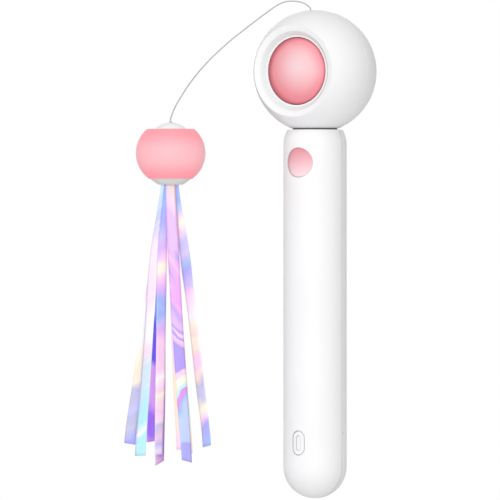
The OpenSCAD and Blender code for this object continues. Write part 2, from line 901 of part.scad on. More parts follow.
module frame_screws() color(steel_colour) {
    at_posts() {
        along_y(front_plate_y - frame_head_t / 2, plate_back_y + frame_bite, frame_screw_r);
        difference() {
            along_y(front_plate_y - frame_head_t, front_plate_y, frame_head_r);
            for (a = [0, 90]) rotate([0, a, 0])
                box(-frame_screw_r, frame_screw_r, -far, front_plate_y - frame_head_t / 2,
                    -frame_screw_r / 4, frame_screw_r / 4);
        }
    }
}

module reel_axle() color(steel_colour) {
    translate([0, 0, head_z]) along_y(front_plate_y, plate_back_y, axle_r);
}

module idler_axle() color(steel_colour) {
    translate([idler_x, 0, head_z + idler_z])
        along_y(reel_back_y + gear_gap / 2, plate_back_y, idler_axle_r);
}

module reel_motor() color(steel_colour) {
    translate([0, 0, head_z + motor_z]) difference() {
        union() {
            along_y(plate_back_y, plate_back_y + motor_len, motor_r);
            along_y(plate_front_y, plate_back_y, motor_boss_r);
        }
        along_y(-far, plate_back_y + motor_len / 2, motor_shaft_r + run_gap);
    }
}

module motor_endcap() color(dark_colour) {
    translate([0, 0, head_z + motor_z]) {
        along_y(plate_back_y + motor_len, plate_back_y + motor_len + motor_cap_t,
            motor_r - cap_step);
    }
}

module line_feed() color("lightgray") {
    translate([0, eyelet_y, head_z]) rotate([0, feed_turn - 90, 0])
        translate([feed_lay_r, 0, 0]) cylinder(h = feed_len, r = feed_r);
}

module reel_spool() color(gear_colour) {
    translate([0, 0, head_z]) difference() {
        union() {
            along_y(reel_front_y, reel_back_y, hub_r);
            along_y(reel_front_y, reel_front_y + flange_t, flange_r);
            along_y(reel_back_y - flange_t, reel_back_y, flange_r);
        }
        along_y(-far, far, bush_r);
    }
}

module spool_bush() color("goldenrod") {
    translate([0, 0, head_z]) difference() {
        along_y(reel_front_y - gear_gap / 2, spool_gear_y + gear_t, bush_r);
        along_y(-far, far, axle_r + run_gap);
    }
}

module spool_gear() color(gear_colour) {
    translate([0, 0, head_z]) {
        spur(spool_teeth, spool_gear_y, bush_r, idler_turn);
        difference() {
            along_y(reel_back_y, spool_gear_y, hub_r / 2);
            along_y(-far, far, bush_r);
        }
    }
}

module line_winding() color("lightgray") {
    translate([0, 0, head_z]) difference() {
        along_y(reel_front_y + flange_t, reel_back_y - flange_t, winding_r);
        along_y(-far, far, hub_r);
    }
}

module reduction_gear() color(gear_colour) {
    translate([idler_x, 0, head_z + idler_z]) {
        spur(small_teeth, spool_gear_y, idler_axle_r + run_gap,
            idler_turn + 180 + 180 / small_teeth);
        difference() {
            along_y(spool_gear_y + gear_t, large_gear_y, 2 * idler_axle_r);
            along_y(-far, far, idler_axle_r + run_gap);
        }
        spur(large_teeth, large_gear_y, idler_axle_r + run_gap, motor_dir);
    }
}

module motor_pinion() color("goldenrod") {
    translate([0, 0, head_z + motor_z])
        spur(pinion_teeth, large_gear_y, motor_shaft_r, motor_dir + 180 + 180 / pinion_teeth);
}

module motor_shaft() color(steel_colour) {
    translate([0, 0, head_z + motor_z])
        along_y(large_gear_y, plate_back_y + motor_len / 2 - gear_gap, motor_shaft_r);
}

// Parts that move in the handle

module power_button() color(pink_colour) {
    translate([0, 0, button_z]) difference() {
        union() {
            intersection() {
                along_y(-far, guide_end_y + seat_gap + button_flange_t, button_r);
                translate([0, 0, -button_z]) handle_bar(handle_r - flush_drop, handle_top);
            }
            along_y(guide_end_y + seat_gap, guide_end_y + seat_gap + button_flange_t,
                button_flange_r);
        }
        along_y(button_roof_y, far, button_room_r);
        rotate_extrude() translate([handle_r - dish_depth + dish_r, 0]) circle(dish_r);
    }
}

module switch_plunger() color(dark_colour) {
    translate([0, 0, button_z])
        along_y(button_roof_y, button_roof_y + plunger_hold, plunger_r);
}

module port_cover() color(shell_colour) {
    translate([0, 0, -port_z]) difference() {
        for (g = [0, 1]) intersection() {
            pill_y(port_h - 2 * cover_gap - 2 * g * groove_w,
                port_w - 2 * cover_gap - 2 * g * groove_w, -far, cover_t - handle_r);
            translate([0, 0, port_z])
                handle_bar(handle_r - flush_drop - (1 - g) * groove_depth, handle_top);
        }
        pill_y(pocket_h, pocket_w, -far, flush_drop + pocket_depth - handle_r);
    }
}

// Line and toy

module line() color("lightgray") {
    translate([0, eyelet_y, 0])
        tube(line_route, line_steps, line_d / 2, [-cos(line_heading), -sin(line_heading)],
            [sin(line_heading), -cos(line_heading)]);
}

// Frame of the toy: the children's origin is the point that it swings about
module at_toy() {
    translate([toy_x, toy_y, 0]) rotate([0, 0, toy_turn]) children();
}

module hang_bead() color(pink_colour) {
    at_toy() translate([0, 0, toy_pivot_z]) sphere(bead_r);
}

module hang_cup() color(steel_colour) {
    at_toy() translate([0, 0, toy_pivot_z]) difference() {
        sphere(cup_out_r);
        sphere(cup_in_r);
        cylinder(h = far, r = 2 * cup_out_r);
    }
}

module toy_ball() color(pink_colour) {
    at_toy() rotate_extrude() difference() {
        intersection() {
            union() {
                translate([bulge_x, ball_z]) circle(ball_bulge_r);
                translate([0, ball_foot_z]) square([bulge_x, ball_top + ball_foot]);
            }
            translate([0, ball_foot_z]) square([ball_r, ball_top + ball_foot]);
        }
        intersection() {
            union() {
                translate([bulge_x, ball_z]) circle(ball_bulge_r - ball_wall);
                translate([0, ball_foot_z]) square([bulge_x, ball_top + ball_foot]);
            }
            translate([0, ball_foot_z + ball_wall])
                square([ball_r, ball_top + ball_foot - 2 * ball_wall]);
        }
        translate([0, ball_z]) square([spigot_r, far]);
        translate([0, ball_foot_z - overrun]) square([foot_spigot_r, ball_foot]);
    }
}

module toy_top_cap() color(shell_colour) {
    at_toy() difference() {
        rotate_extrude() {
            intersection() {
                translate([0, cap_top - top_cap_sphere_r]) circle(top_cap_sphere_r);
                translate([0, ball_flat_z]) square([top_cap_r, top_cap_h + overrun]);
            }
            translate([0, ball_flat_z - spigot_len])
                square([spigot_r - fit_gap, spigot_len + top_cap_h / 2]);
        }
        translate([0, 0, toy_pivot_z]) sphere(cup_room_r);
        translate([0, 0, ball_flat_z - spigot_len - overrun])
            cylinder(h = spindle_bite + overrun, r = spindle_r);
    }
}

module toy_bottom_cap() color([0.85, 0.86, 0.85]) {
    at_toy() difference() {
        rotate_extrude() {
            intersection() {
                translate([0, ball_foot_z + foot_cap_drop]) circle(foot_cap_sphere_r);
                translate([0, foot_cap_end_z]) square([foot_cap_r, foot_cap_h]);
            }
            translate([0, ball_foot_z]) square([foot_spigot_r - fit_gap, spigot_len]);
        }
        translate([0, 0, foot_cap_end_z - overrun])
            cylinder(h = far, r = film_bore_r);
    }
}

module toy_spindle() color(gear_colour) {
    at_toy() translate([0, 0, clamp_z + clamp_t]) difference() {
        cylinder(h = spindle_top_z - clamp_z - clamp_t, r = spindle_r);
        translate([0, 0, -overrun]) cylinder(h = far, r = spindle_r - spindle_wall);
    }
}

module ribbon_clamp() color(dark_colour) {
    at_toy() translate([0, 0, clamp_z]) cylinder(h = clamp_t, r = film_bore_r);
}

// One strip of film, a thin closed solid that widens, turns and spreads as it goes down
module ribbon(i) {
    cut = film_cuts[i];
    layer = film_pitch * cut[1] * (len(film_cuts) - 1) / 2;
    points = [
        for (k = [0 : film_rings - 1], c = [0 : 3])
            let (
                t = k / (film_rings - 1),
                s = min(1, t / cut[3]),
                turn = along(film_turns[i], t),
                x = film_spread * along(film_sides[i], t),
                y = layer + (film_depth * cut[1] - layer) * pow(t, 1.3),
                w = film_w * (cut[2] + (1 - cut[2]) * s * s * (3 - 2 * s)),
                a = w / 2 * (c == 0 || c == 3 ? -1 : 1),
                b = film_t / 2 * (c < 2 ? -1 : 1)
            ) [
                x + a * cos(turn) - b * sin(turn),
                y + a * sin(turn) + b * cos(turn),
                film_top_z - t * film_len * cut[0]
            ]
    ];
    walls = [
        for (k = [0 : film_rings - 2], c = [0 : 3], part = [0, 1])
            let (
                p = 4 * k + c,
                q = 4 * k + (c + 1) % 4,
                r = c == 2 ? q + 4 : p + 4
            ) part == 0 ? [p, q, r] : (c == 2 ? [p, r, p + 4] : [q, q + 4, p + 4])
    ];
    last = 4 * (film_rings - 1);
    color(film_colours[i]) at_toy()
        polyhedron(points, concat([[0, 2, 1], [0, 3, 2]], walls,
            [[last, last + 1, last + 2], [last, last + 2, last + 3]]));
}

module ribbon_1() ribbon(0);
module ribbon_2() ribbon(1);
module ribbon_3() ribbon(2);
module ribbon_4() ribbon(3);
module ribbon_5() ribbon(4);
module ribbon_6() ribbon(5);
module ribbon_7() ribbon(6);
module ribbon_8() ribbon(7);
module ribbon_9() ribbon(8);

handle_front_shell();
handle_back_shell();
handle_screws();
screw_plugs();
neck_collar();
control_board();
board_chips();
button_switch();
charging_socket();
socket_tongue();
battery_cell();
battery_pad();
battery_tabs();
motor_leads();
head_front_shell();
head_back_shell();
dome_cover();
line_eyelet();
frame_front_plate();
frame_back_plate();
frame_posts();
frame_screws();
reel_axle();
idler_axle();
reel_motor();
motor_endcap();
line_feed();
power_button();
switch_plunger();
port_cover();
reel_spool();
spool_bush();
spool_gear();
line_winding();
reduction_gear();
motor_pinion();
motor_shaft();
line();
hang_bead();
hang_cup();
toy_ball();
toy_top_cap();
toy_bottom_cap();
toy_spindle();
ribbon_clamp();
ribbon_1();
ribbon_2();
ribbon_3();
ribbon_4();
ribbon_5();
ribbon_6();
ribbon_7();
ribbon_8();
ribbon_9();
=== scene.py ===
# %% [markdown]
# # Cat teaser wand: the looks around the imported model
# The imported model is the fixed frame: every rigid piece of the wand is already there, in place.
# The shapes could be built again here, but then two versions would have to agree, so this script
# only adds what solids can't show: the line, the film tassel, the materials and the studio.
# Lengths are in metres, and the frame is the model's own: +Z runs up the handle, -Y is the
# front, and the origin lies on the handle's axis at mid grip.

# %% The frame
import math

import bpy
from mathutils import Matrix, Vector


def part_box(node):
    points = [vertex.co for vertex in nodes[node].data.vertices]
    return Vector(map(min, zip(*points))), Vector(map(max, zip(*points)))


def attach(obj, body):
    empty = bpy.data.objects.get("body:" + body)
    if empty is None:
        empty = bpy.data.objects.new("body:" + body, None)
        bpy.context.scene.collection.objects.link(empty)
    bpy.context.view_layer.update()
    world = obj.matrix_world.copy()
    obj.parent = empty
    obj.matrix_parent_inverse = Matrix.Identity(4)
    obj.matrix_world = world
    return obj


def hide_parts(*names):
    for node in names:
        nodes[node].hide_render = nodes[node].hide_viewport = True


MM = 0.001
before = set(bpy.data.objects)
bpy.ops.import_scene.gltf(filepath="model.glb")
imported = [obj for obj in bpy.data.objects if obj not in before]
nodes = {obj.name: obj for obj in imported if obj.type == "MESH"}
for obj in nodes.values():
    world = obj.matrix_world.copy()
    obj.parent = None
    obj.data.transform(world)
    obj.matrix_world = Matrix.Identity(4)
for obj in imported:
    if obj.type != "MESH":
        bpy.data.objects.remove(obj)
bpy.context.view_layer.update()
scene = bpy.context.scene
scene.view_settings.view_transform = "Standard"

# %% [markdown]
# ## Camera
# The photograph looks level at the wand from 32.5 degrees off its front, towards +X, so the face
# of the head points to the viewer's left. The dome sits level with the middle of the head in it,
# although both are high in the picture. A camera close by, even with its lens shifted, would look
# up at the head's underside, so the lens is very long and the camera stands four metres away.

# %% Camera
VIEW_TURN = math.radians(32.5)
VIEW_RIGHT = Vector((math.cos(VIEW_TURN), math.sin(VIEW_TURN), 0))
VIEW_BACK = Vector((math.sin(VIEW_TURN), -math.cos(VIEW_TURN), 0))
FRAME_WIDTH = 225 * MM
CAMERA_DISTANCE = 4
SENSOR_WIDTH = 36
AIM_SIDE = -29.25 * MM
AIM_HEIGHT = 25.2 * MM

aim = VIEW_RIGHT * AIM_SIDE + Vector((0, 0, AIM_HEIGHT))
camera_data = bpy.data.cameras.new("camera")
camera_data.sensor_width = SENSOR_WIDTH
camera_data.lens = SENSOR_WIDTH * CAMERA_DISTANCE / FRAME_WIDTH
camera = bpy.data.objects.new("camera", camera_data)
camera.location = aim + VIEW_BACK * CAMERA_DISTANCE
camera.rotation_euler = VIEW_BACK.to_track_quat("Z", "Y").to_euler()
scene.collection.objects.link(camera)
scene.camera = camera
print("camera: lens %.0f mm at %.2f m" % (camera_data.lens, CAMERA_DISTANCE))

# %% [markdown]
# ## The line
# A springy coated line leaves the eyelet in the top of the head, rises, bends over and comes down
# to the toy in one arc. The route is the same as the solid's: level distance from the eyelet's
# axis, and height, in millimetres. A curve object with a round bevel could carry it. A mesh tube
# is used instead, because every ring of it can stand square to the smooth curve that runs through
# the points, and it leaves Blender as it is.

# %% Line
LINE_DIAMETER = 0.6 * MM
LINE_HEADING = math.radians(29.6)
EYELET = Vector((0, -3.8 * MM, 133.1 * MM))
LINE_ROUTE = [
    (0, 131.6), (0, 133.3), (0.2, 133.9), (0.9, 134.8), (2.5, 135.9), (5, 136.8), (8.2, 137.1),
    (10.9, 136.9), (13.6, 136), (16.9, 134), (21.6, 130.6), (26.5, 126.9), (31.4, 123.1),
    (36.3, 119.2), (41, 115), (45.5, 110.7), (49.6, 106.2), (53.3, 101.6), (56.6, 96.9),
    (59.4, 92.4), (61.5, 88.4), (62.7, 85.4), (63, 84.2), (63, 83.25),
]
LINE_STEPS = 5
LINE_SIDES = 10


def between(a, b, c, d, t):
    """Value at share t from b to c on the smooth curve through four evenly spaced values."""
    return (2 * b + (c - a) * t + (2 * a - 5 * b + 4 * c - d) * t * t
            + (3 * b - a - 3 * c + d) * t ** 3) / 2


def smooth_route(route, steps):
    """Points of the curve that passes through every point of the route."""
    found = []
    for i in range(len(route) - 1):
        before, start = route[max(i - 1, 0)], route[i]
        end, after = route[i + 1], route[min(i + 2, len(route) - 1)]
        for k in range(steps):
            found.append([between(*four, k / steps)
                          for four in zip(before, start, end, after)])
    return found + [list(route[-1])]


line_points = [
    Vector((-reach * math.cos(LINE_HEADING) * MM,
            EYELET.y - reach * math.sin(LINE_HEADING) * MM, height * MM))
    for reach, height in smooth_route(LINE_ROUTE, LINE_STEPS)
]


def tube_mesh(name, points, radius, sides):
    """Closed round tube along points that lie in one upright plane."""
    level = Vector((-math.sin(LINE_HEADING), math.cos(LINE_HEADING), 0))
    places, faces = [], []
    for k, point in enumerate(points):
        ahead = points[min(k + 1, len(points) - 1)] - points[max(k - 1, 0)]
        across = level.cross(ahead).normalized()
        for side in range(sides):
            turn = math.tau * side / sides
            places.append(point + (level * math.cos(turn) + across * math.sin(turn)) * radius)
    for k in range(len(points) - 1):
        for side in range(sides):
            a, b = k * sides + side, k * sides + (side + 1) % sides
            faces.append((a, b, b + sides, a + sides))
    faces += [tuple(range(sides))[::-1], tuple(range(len(places) - sides, len(places)))]
    mesh = bpy.data.meshes.new(name)
    mesh.from_pydata(places, [], faces)
    for polygon in mesh.polygons:
        polygon.use_smooth = len(polygon.vertices) == 4
    return mesh


line = bpy.data.objects.new(
    "teaser_line", tube_mesh("teaser_line", line_points, LINE_DIAMETER / 2, LINE_SIDES))
scene.collection.objects.link(line)
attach(line, "line")
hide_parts("line")

# %% [markdown]
# ## Material building blocks
# Colours are written as the eye sees them, from 0 to 255, and turned to linear light here.
# Every material is a small node tree: a colour that drifts slightly over the surface, a roughness
# that varies, and a fine relief such as moulding leaves. Image textures could hold the same, but
# noise needs no files and no unwrapping. Patterns use object coordinates, so they keep their real
# size and move with their piece.


# %% Colour and node helpers
def linear(red, green, blue):
    """Linear light of a colour that is given from 0 to 255."""
    def one(value):
        share = value / 255
        return share / 12.92 if share <= 0.04045 else ((share + 0.055) / 1.055) ** 2.4
    return (one(red), one(green), one(blue), 1.0)


class Tree:
    """A material's node tree, with short calls to add and join nodes."""

    def __init__(self, name):
        self.material = bpy.data.materials.new(name)
        self.material.use_nodes = True
        self.nodes = self.material.node_tree.nodes
        self.links = self.material.node_tree.links
        self.nodes.clear()
        self.output = self.nodes.new("ShaderNodeOutputMaterial")
        self.surface = self.nodes.new("ShaderNodeBsdfPrincipled")
        self.links.new(self.surface.outputs["BSDF"], self.output.inputs["Surface"])

    def add(self, kind, **values):
        """Adds a node. Values name its own settings or its inputs, with _ for a space."""
        node = self.nodes.new(kind)
        for key, value in values.items():
            if hasattr(node, key):
                setattr(node, key, value)
            else:
                node.inputs[key.replace("_", " ")].default_value = value
        return node

    def join(self, source, target):
        """Links one socket to another."""
        self.links.new(source, target)

    def place(self, kind="Object"):
        """Coordinates of the surface."""
        return self.add("ShaderNodeTexCoord").outputs[kind]

    def axis(self, letter, kind="Object"):
        """One coordinate of the surface."""
        parts = self.add("ShaderNodeSeparateXYZ")
        self.join(self.place(kind), parts.inputs["Vector"])
        return parts.outputs[letter]

    def mapped(self, vector, **values):
        """Coordinates moved, turned or scaled."""
        node = self.add("ShaderNodeMapping", **values)
        self.join(vector, node.inputs["Vector"])
        return node.outputs["Vector"]

    def distance(self, vector, point=(0, 0, 0)):
        """Distance of coordinates from a point."""
        node = self.add("ShaderNodeVectorMath", operation="DISTANCE")
        self.join(vector, node.inputs[0])
        node.inputs[1].default_value = point
        return node.outputs["Value"]

    def off_axis(self, height):
        """Distance from the level axis that runs from front to back at a height."""
        return self.distance(self.mapped(self.place(), Location=(0, 0, -height),
                                         Scale=(1, 0, 1)))

    def noise(self, scale, detail=3, place=None):
        """Cloudy pattern; scale is in turns for each metre."""
        node = self.add("ShaderNodeTexNoise", Scale=scale, Detail=detail)
        self.join(place or self.place(), node.inputs["Vector"])
        return node.outputs["Fac"]

    def spread(self, value, low, high, start=0.3, end=0.7, kind="LINEAR"):
        """Maps start to end of a value onto low to high."""
        node = self.add("ShaderNodeMapRange", interpolation_type=kind, From_Min=start,
                        From_Max=end, To_Min=low, To_Max=high)
        self.join(value, node.inputs["Value"])
        return node.outputs["Result"]

    def maths(self, operation, first, second=None):
        """One sum; each value is a number or a socket."""
        node = self.add("ShaderNodeMath", operation=operation)
        for value, socket in ((first, node.inputs[0]), (second, node.inputs[1])):
            if isinstance(value, bpy.types.NodeSocket):
                self.join(value, socket)
            elif value is not None:
                socket.default_value = value
        return node.outputs["Value"]

    def mix(self, share, first, second):
        """Blends two colours; each is a colour or a socket."""
        node = self.add("ShaderNodeMix", data_type="RGBA")
        for value, socket in ((share, node.inputs[0]), (first, node.inputs[6]),
                              (second, node.inputs[7])):
            if isinstance(value, bpy.types.NodeSocket):
                self.join(value, socket)
            else:
                socket.default_value = value
        return node.outputs[2]

    def paint(self, colour):
        """Gives the surface its colour."""
        self.join(colour, self.surface.inputs["Base Color"])

    def painted(self):
        """The socket that the surface's colour comes from."""
        return self.surface.inputs["Base Color"].links[0].from_socket

    def roughen(self, pattern, low, high):
        """Lets the surface's roughness follow a pattern."""
        self.join(self.spread(pattern, low, high), self.surface.inputs["Roughness"])

    def bump(self, height, depth):
        """Gives the surface a relief of a real depth in metres."""
        node = self.add("ShaderNodeBump", Strength=1, Distance=depth)
        self.join(height, node.inputs["Height"])
        self.join(node.outputs["Normal"], self.surface.inputs["Normal"])

    def fix(self, **values):
        """Sets plain values of the surface, with _ for a space in a name."""
        for key, value in values.items():
            self.surface.inputs[key.replace("_", " ")].default_value = value


print("node helpers ready")

# %% [markdown]
# ## Plastic and metal
# Most parts are moulded or turned. Moulded plastic has a faint cloudiness, an uneven gloss and the
# fine grain of its mould, and turned metal has fine lines along one direction. Each part could
# have a tree of its own, but with two functions all parts of one kind stay alike, and only
# colour, roughness and grain differ. Patterns are given in turns for each metre.

# %% Plastic and metal
CLOUD_SCALE = 38
GLOSS_SCALE = 260
GRAIN_SCALE = 900
METAL_SCALE = 2400
METAL_STRETCH = (1, 1, 14)
METAL_DULL = 0.86


def moulded(name, colour, drift, roughness, specular=0.3, grain=GRAIN_SCALE,
            relief=0.006 * MM):
    """Moulded plastic: faint colour drift, uneven gloss and fine relief."""
    tree = Tree(name)
    cloud = tree.spread(tree.noise(CLOUD_SCALE, 2), 0, 1)
    tree.paint(tree.mix(cloud, linear(*colour), linear(*drift)))
    tree.roughen(tree.noise(GLOSS_SCALE, 4), roughness - 0.05, roughness + 0.05)
    tree.bump(tree.noise(grain, 4), relief)
    tree.fix(Specular_IOR_Level=specular)
    return tree


def metal(name, colour, roughness):
    """Turned or drawn metal with fine lines along one direction."""
    tree = Tree(name)
    lines = tree.noise(METAL_SCALE, 3, tree.mapped(tree.place(), Scale=METAL_STRETCH))
    dull = [METAL_DULL * part for part in colour]
    tree.paint(tree.mix(tree.spread(lines, 0, 1), linear(*colour), linear(*dull)))
    tree.roughen(lines, roughness - 0.06, roughness + 0.08)
    tree.bump(lines, 0.002 * MM)
    tree.fix(Metallic=1)
    return tree


print("plastic and metal ready")

# %% [markdown]
# ## Materials
# The shells are satin white moulded plastic and the caps of the ball a little greyer; the bottom
# cap is greyer still, painted shade for its underside. The collar is dark grey, which is partly
# painted shade of the gap between head and handle. A clear coat could make them glossy, but the
# real ones show one broad, soft sheen, so the specular level is low and the roughness is near a
# half. Steel, brass, nylon, foam and the wrapped cell are inside, where only an open port or a
# cut shows them.


# %% Materials of the solid parts
def satin_white(name, roughness=0.5):
    """The white of the shells."""
    return moulded(name, (244, 244, 245), (242, 242, 243), roughness, specular=0.12)


shell_white = satin_white("shell_white")
trim_white = moulded("trim_white", (238, 238, 240), (235, 235, 237), 0.62, specular=0.12)
cap_white = moulded("cap_white", (246, 246, 246), (243, 243, 243), 0.5, specular=0.12)
# The bottom cap's greyer white is painted shade for its underside.
cap_painted_shade = moulded("cap_painted_shade", (228, 229, 227), (223, 225, 222), 0.55, specular=0.12)
# The recessed collar is real; its dark grey is partly painted shade of the gap between head and
# handle.
collar_grey = moulded("collar_grey", (96, 96, 98), (88, 88, 90), 0.6)
nylon = moulded("nylon", (236, 234, 224), (228, 226, 214), 0.5)
chip_black = moulded("chip_black", (28, 28, 30), (36, 36, 38), 0.5)
cell_wrap = moulded("cell_wrap", (60, 108, 178), (54, 100, 168), 0.3, specular=0.5)
foam = moulded("foam", (48, 48, 50), (36, 36, 38), 0.9, grain=2600, relief=0.2 * MM)
wire_red = moulded("wire_red", (186, 40, 36), (170, 32, 30), 0.4, specular=0.4)
line_grey = moulded("line_grey", (184, 184, 188), (176, 176, 180), 0.5, specular=0.2)
steel = metal("steel", (196, 197, 200), 0.32)
brass = metal("brass", (206, 172, 98), 0.3)
print("materials so far:", len(bpy.data.materials))

# %% [markdown]
# The handle's shells have a painted line of shade along the fine groove where they meet, and the
# port cover has painted shade along its outline and round its nail pocket; so has the edge of
# the button's hole. The gaps are real, but only a tenth of a millimetre wide, which a picture
# can't hold. Cutting them wider would spoil the fit, so each line of painted shade is laid into the
# colour beside its gap, by the distance to it in the handle's own coordinates.


# %% Grooves
def shade_line(tree, distance, middle, reach, colour):
    """Paints groove shade where a distance is within a reach of the middle of a groove."""
    offset = tree.maths("ABSOLUTE", tree.maths("SUBTRACT", distance, middle))
    share = tree.spread(offset, 1, 0, 0.5 * reach, reach, "SMOOTHSTEP")
    tree.paint(tree.mix(share, tree.painted(), linear(*colour)))


SEAM_MIDDLE = 0.12 * MM
SEAM_REACH = 0.34 * MM
BUTTON_HEIGHT = 64.5 * MM
BUTTON_HOLE = 6.6 * MM
HOLE_REACH = 0.26 * MM
handle_back_white = satin_white("handle_back_white")
handle_front_white = satin_white("handle_front_white")
# Painted shade along the seam groove of both shells and round the button's hole.
for tree in (handle_back_white, handle_front_white):
    shade_line(tree, tree.axis("Y"), SEAM_MIDDLE, SEAM_REACH, (214, 214, 216))
shade_line(handle_front_white, handle_front_white.off_axis(BUTTON_HEIGHT), BUTTON_HOLE,
           HOLE_REACH, (214, 202, 205))

# Outlines of painted shade: length, width, reach and colour of the shade.
COVER_OUTLINE_SHADE = (10.9 * MM, 6.1 * MM, 0.45 * MM, (204, 204, 206))
POCKET_OUTLINE_SHADE = (6.8 * MM, 2.3 * MM, 0.25 * MM, (212, 212, 214))
port_low, port_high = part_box("port_cover")
port_middle = (port_low[2] + port_high[2]) / 2
cover_white = satin_white("cover_white", 0.55)
across = cover_white.axis("X")
upward = cover_white.maths("ABSOLUTE", cover_white.maths("SUBTRACT", cover_white.axis("Z"),
                                                         port_middle))
for long, wide, reach, colour in (COVER_OUTLINE_SHADE, POCKET_OUTLINE_SHADE):
    beyond = cover_white.maths("MAXIMUM", 0, cover_white.maths("SUBTRACT", upward,
                                                               (long - wide) / 2))
    square = cover_white.maths("ADD", cover_white.maths("MULTIPLY", beyond, beyond),
                               cover_white.maths("MULTIPLY", across, across))
    shade_line(cover_white, cover_white.maths("SQRT", square), wide / 2, reach, colour)
print("grooves ready; cover %.1f x %.1f mm" % ((port_high[2] - port_low[2]) / MM,
                                              (port_high[0] - port_low[0]) / MM))

# %% [markdown]
# The front shell of the head is the same white, but the funnel round the dome takes pink light from
# it. On the real head the funnel and a ring round it stay a neutral pale grey, and outside that
# ring the head falls into shade, low at the viewer's left. A lamp aimed into the funnel would wash
# out the rest, and a darker room would dull the whole wand. So the white itself carries painted
# shade: a cooler grey in the funnel and ring against the pink light, and a darker grey on the flank
# outside the ring, both by the distance from the dome's axis.

# %% Face of the head
dome_low, dome_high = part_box("dome_cover")
dome_height = (dome_low[2] + dome_high[2]) / 2
FUNNEL_FROM = 15.9 * MM
FUNNEL_TO = 17.9 * MM
FUNNEL_EDGE = 0.15 * MM
RING_TO = 21 * MM
RING_SHARE = 0.35
FLANK_SHADE_RADIUS = (20.7 * MM, 21.3 * MM)
FLANK_SHADE_SIDE = (-14 * MM, -5 * MM)
FLANK_SHADE_HEIGHT = (dome_height - 2 * MM, dome_height + 8 * MM)
face_white = satin_white("face_white")
radius = face_white.off_axis(dome_height)
inside = face_white.spread(radius, 0, 1, FUNNEL_FROM - FUNNEL_EDGE, FUNNEL_FROM)
outside = face_white.spread(radius, 1, 0, FUNNEL_TO - FUNNEL_EDGE, FUNNEL_TO)
ring = face_white.spread(radius, RING_SHARE, 0, FUNNEL_TO, RING_TO)
funnel = face_white.maths("MULTIPLY", inside, face_white.maths("MAXIMUM", outside, ring))
# Painted cool shade in the funnel and ring, against the pink light from the dome.
face_white.paint(face_white.mix(funnel, face_white.painted(), linear(230, 240, 239)))
flank_shade = face_white.spread(radius, 0, 1, *FLANK_SHADE_RADIUS)
for letter, ends in (("X", FLANK_SHADE_SIDE), ("Z", FLANK_SHADE_HEIGHT)):
    flank_shade = face_white.maths("MULTIPLY", flank_shade,
                             face_white.spread(face_white.axis(letter), 1, 0, *ends))
# Painted shade low on the flank at the viewer's left, outside the ring.
face_white.paint(face_white.mix(flank_shade, face_white.painted(), linear(218, 221, 220)))
print("face ready, cooler from %.1f to %.1f mm" % (FUNNEL_FROM / MM, RING_TO / MM))

# %% [markdown]
# The dome and the button have a satin pink with a painted highlight, paler where the light falls,
# and painted shade that makes the dome's rim deeper, most of all at the viewer's left, and the
# button deeper high in its dish and at its rim. The ball is a softer, more even pink with a painted
# pale band of sheen round its middle, and a painted glow stands in for the light a thin translucent
# shell lets through. Subsurface scattering could do that, but in so thin a shell it turns the pink
# grey. So all three are one kind of tree: a share that runs from deep to pale, then two pinks mixed
# by it, and the ball gets a faint painted glow.

# %% Pink materials
PINK_GLOSS_SCALE = 300
PINK_GRAIN_SCALE = 1100


def satin_pink(name, deep, pale, share_of, roughness, specular):
    """Pink from deep to pale; share_of takes the tree and gives the share's socket."""
    tree = Tree(name)
    tree.paint(tree.mix(share_of(tree), linear(*deep), linear(*pale)))
    tree.roughen(tree.noise(PINK_GLOSS_SCALE, 4), roughness - 0.04, roughness + 0.04)
    tree.bump(tree.noise(PINK_GRAIN_SCALE, 4), 0.004 * MM)
    tree.fix(Specular_IOR_Level=specular)
    return tree


def away_from(point, start, end):
    """Share that falls smoothly from 1 at start to 0 at end, by the distance from a point."""
    def share_of(tree):
        return tree.spread(tree.distance(tree.place(), point), 1, 0, start, end, "SMOOTHSTEP")
    return share_of


def down_from(height, reach):
    """Share that rises from 0 to 1 on the way down through a height."""
    def share_of(tree):
        return tree.spread(tree.axis("Z"), 0, 1, height + reach, height - reach)
    return share_of


def near_height(height, start, end):
    """Share that falls smoothly from 1 near a height to 0 above and below it."""
    def share_of(tree):
        gap = tree.maths("ABSOLUTE", tree.maths("SUBTRACT", tree.axis("Z"), height))
        return tree.spread(gap, 1, 0, start, end, "SMOOTHSTEP")
    return share_of


DOME_RADIUS = 15 * MM
DOME_RISE = 5 * MM
DOME_HIGHLIGHT = (3.6 * MM, dome_low[1], dome_height + 2.2 * MM)
DOME_HIGHLIGHT_FADE = 18 * MM
DOME_RIM_SHADES = [
    (5 * MM, 1 * MM, 0, (233, 138, 149)),
    (1 * MM, 0.1 * MM, 0, (204, 100, 114)),
    (2 * MM, 2.4 * MM, 2.4 * MM, (176, 62, 78)),
]
# The pale middle is a painted highlight, and the deeper pinks at the rim are painted shade.
dome_pink = satin_pink("dome_pink", (241, 140, 150), (240, 204, 207),
                       away_from(DOME_HIGHLIGHT, 0, DOME_HIGHLIGHT_FADE), 0.42, 0.4)
for inset, past, shift, deepest in DOME_RIM_SHADES:
    middle = (shift, dome_low[1] + DOME_RISE, dome_height)
    edge = away_from(middle, DOME_RADIUS - inset, DOME_RADIUS + past)(dome_pink)
    dome_pink.paint(dome_pink.mix(edge, linear(*deepest), dome_pink.painted()))

BUTTON_SHADE_REACH = 6.4 * MM
RIM_SHADE_SHARE = 0.2
RIM_SHADE_FROM = BUTTON_HOLE - 0.6 * MM
RIM_SHADE_TO = BUTTON_HOLE - 0.2 * MM
# Painted shade high in the dish and a painted highlight low in it, where light falls.
button_pink = satin_pink("button_pink", (232, 144, 158), (249, 222, 226),
                         down_from(BUTTON_HEIGHT, BUTTON_SHADE_REACH), 0.45, 0.3)
